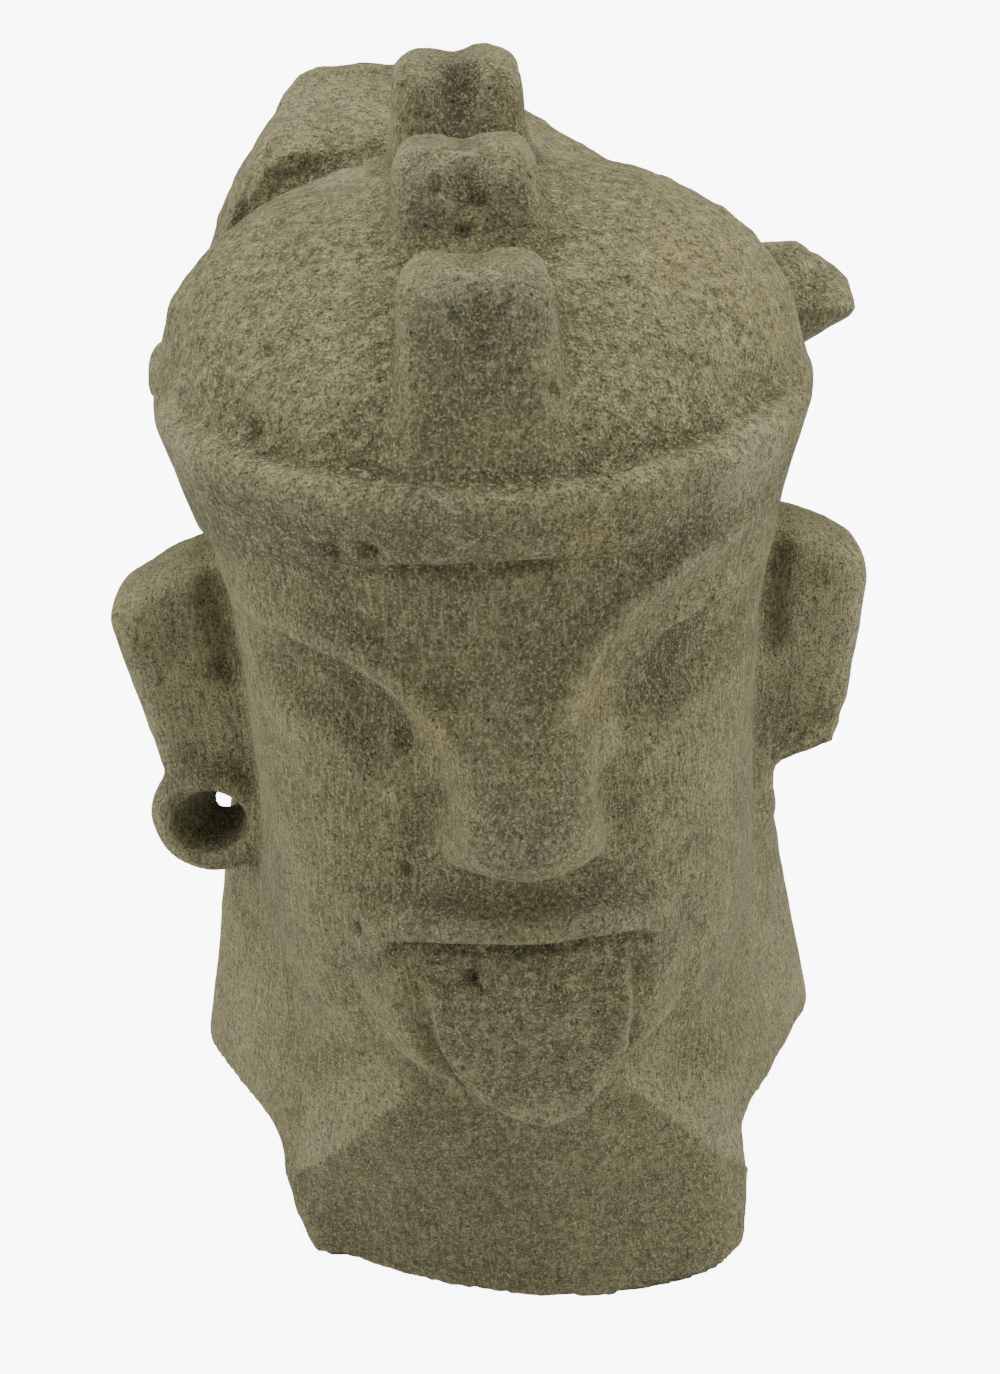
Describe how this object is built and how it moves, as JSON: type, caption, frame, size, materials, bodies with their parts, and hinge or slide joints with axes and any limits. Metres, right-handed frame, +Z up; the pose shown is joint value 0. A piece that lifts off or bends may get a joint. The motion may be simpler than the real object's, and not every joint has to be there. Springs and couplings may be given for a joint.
{
  "type": "carved stone deity head",
  "caption": "Weathered stone deity head with a toothed crest, cap, ear slabs, pierced ear spool and long hanging tongue, cut flat below to stand as a bust.",
  "frame": {"origin": "on the flat underside, below the axis of the cap", "axes": "+Z up, the face looks towards -Y, +X to the right of a viewer who faces it"},
  "size_m": [0.2363, 0.202, 0.3877],
  "materials": {
    "stone": "rough, weathered, olive grey-brown"
  },
  "bodies": {
    "root": {"stone_head": "stone"}
  },
  "joints": []
}
